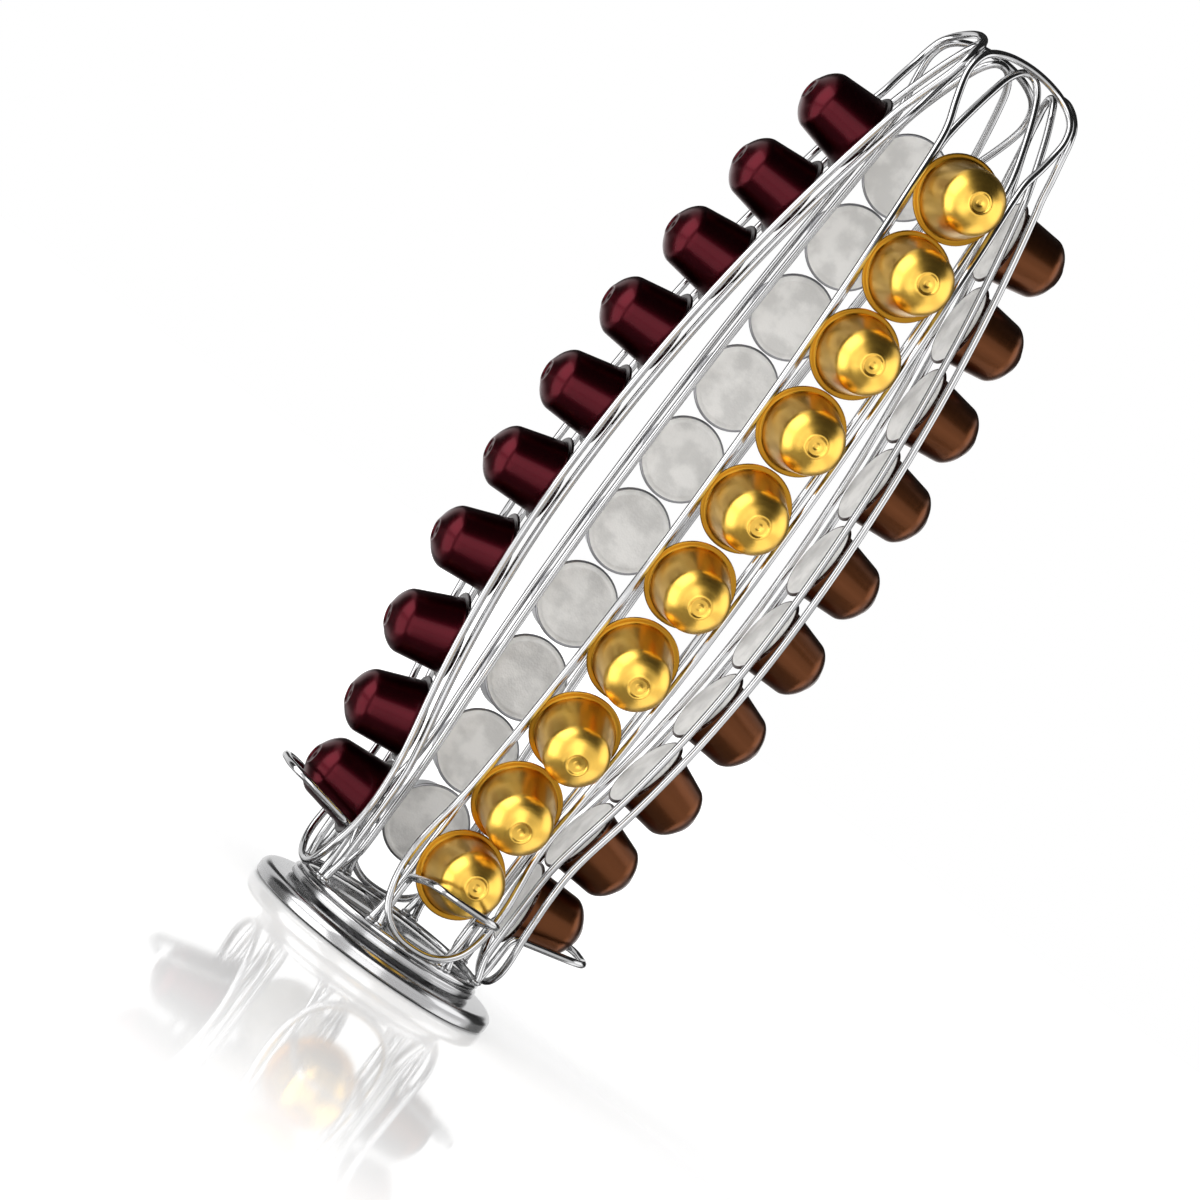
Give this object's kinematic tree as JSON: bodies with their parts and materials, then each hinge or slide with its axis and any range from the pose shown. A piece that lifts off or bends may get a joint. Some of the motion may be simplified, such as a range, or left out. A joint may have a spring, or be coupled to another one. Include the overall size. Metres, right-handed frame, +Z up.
{
  "type": "coffee capsule dispenser",
  "caption": "Tall turning wire tower on a round base, with bowed columns of stacked coffee capsules, an arched crown where they go in and a tray at each column's foot.",
  "frame": {"origin": "on the turning axis, in the plane of the table that the pad stands on", "axes": "+Z up along the turning axis; the front column faces -Y and the right column +X"},
  "size_m": [0.1704, 0.1704, 0.4463],
  "materials": {
    "gold_foil": "glossy gold lacquer",
    "silver_foil": "glossy clear lacquer",
    "bronze_foil": "satin bronze lacquer",
    "burgundy_foil": "glossy dark red lacquer",
    "chrome_wire": "polished chrome",
    "chrome_plate": "polished chrome",
    "zinc_steel": "zinc plated",
    "grey_pad": "matte"
  },
  "bodies": {
    "base": {"base_pad": "grey_pad", "base_plate": "chrome_plate", "lower_race": "zinc_steel", "centre_rivet": "zinc_steel"},
    "ball_ring": {"ball_cage": "zinc_steel"},
    "front_top_capsule": {"front_capsule_01": "gold_foil"},
    "right_top_capsule": {"right_capsule_01": "bronze_foil"},
    "back_top_capsule": {"back_capsule_01": "silver_foil"},
    "left_top_capsule": {"left_capsule_01": "burgundy_foil"},
    "carousel": {"turntable": "chrome_plate", "floor_cross": "chrome_plate", "floor_ring": "chrome_wire", "front_guide_loop": "chrome_wire", "front_rear_loop": "chrome_wire", "front_tray": "chrome_wire", "front_capsule_02": "gold_foil", "front_capsule_03": "gold_foil", "front_capsule_04": "gold_foil", "front_capsule_05": "gold_foil", "front_capsule_06": "gold_foil", "front_capsule_07": "gold_foil", "front_capsule_08": "gold_foil", "front_capsule_09": "gold_foil", "front_capsule_10": "gold_foil", "right_guide_loop": "chrome_wire", "right_rear_loop": "chrome_wire", "right_tray": "chrome_wire", "right_capsule_02": "bronze_foil", "right_capsule_03": "bronze_foil", "right_capsule_04": "bronze_foil", "right_capsule_05": "bronze_foil", "right_capsule_06": "bronze_foil", "right_capsule_07": "bronze_foil", "right_capsule_08": "bronze_foil", "right_capsule_09": "bronze_foil", "right_capsule_10": "bronze_foil", "back_guide_loop": "chrome_wire", "back_rear_loop": "chrome_wire", "back_tray": "chrome_wire", "back_capsule_02": "silver_foil", "back_capsule_03": "silver_foil", "back_capsule_04": "silver_foil", "back_capsule_05": "silver_foil", "back_capsule_06": "silver_foil", "back_capsule_07": "silver_foil", "back_capsule_08": "silver_foil", "back_capsule_09": "silver_foil", "back_capsule_10": "silver_foil", "left_guide_loop": "chrome_wire", "left_rear_loop": "chrome_wire", "left_tray": "chrome_wire", "left_capsule_02": "burgundy_foil", "left_capsule_03": "burgundy_foil", "left_capsule_04": "burgundy_foil", "left_capsule_05": "burgundy_foil", "left_capsule_06": "burgundy_foil", "left_capsule_07": "burgundy_foil", "left_capsule_08": "burgundy_foil", "left_capsule_09": "burgundy_foil", "left_capsule_10": "burgundy_foil"}
  },
  "joints": [
    {"name": "carousel_turn", "type": "hinge", "parent": "base", "child": "carousel", "pos_m": [0, 0, 0.012], "axis": [0, 0, 1], "continuous": true},
    {"name": "ball_ring_roll", "type": "hinge", "parent": "base", "child": "ball_ring", "pos_m": [0, 0, 0.0099], "axis": [0, 0, 1], "continuous": true},
    {"name": "front_top_capsule_lift", "type": "slide", "parent": "carousel", "child": "front_top_capsule", "axis": [0, 0.2132, 0.977], "range_m": [0, 0.018]},
    {"name": "right_top_capsule_lift", "type": "slide", "parent": "carousel", "child": "right_top_capsule", "axis": [-0.2132, 0, 0.977], "range_m": [0, 0.018]},
    {"name": "back_top_capsule_lift", "type": "slide", "parent": "carousel", "child": "back_top_capsule", "axis": [0, -0.2132, 0.977], "range_m": [0, 0.018]},
    {"name": "left_top_capsule_lift", "type": "slide", "parent": "carousel", "child": "left_top_capsule", "axis": [0.2132, 0, 0.977], "range_m": [0, 0.018]}
  ],
  "couplings": [
    {"joint": "ball_ring_roll", "follows": "carousel_turn", "ratio": 0.5}
  ]
}
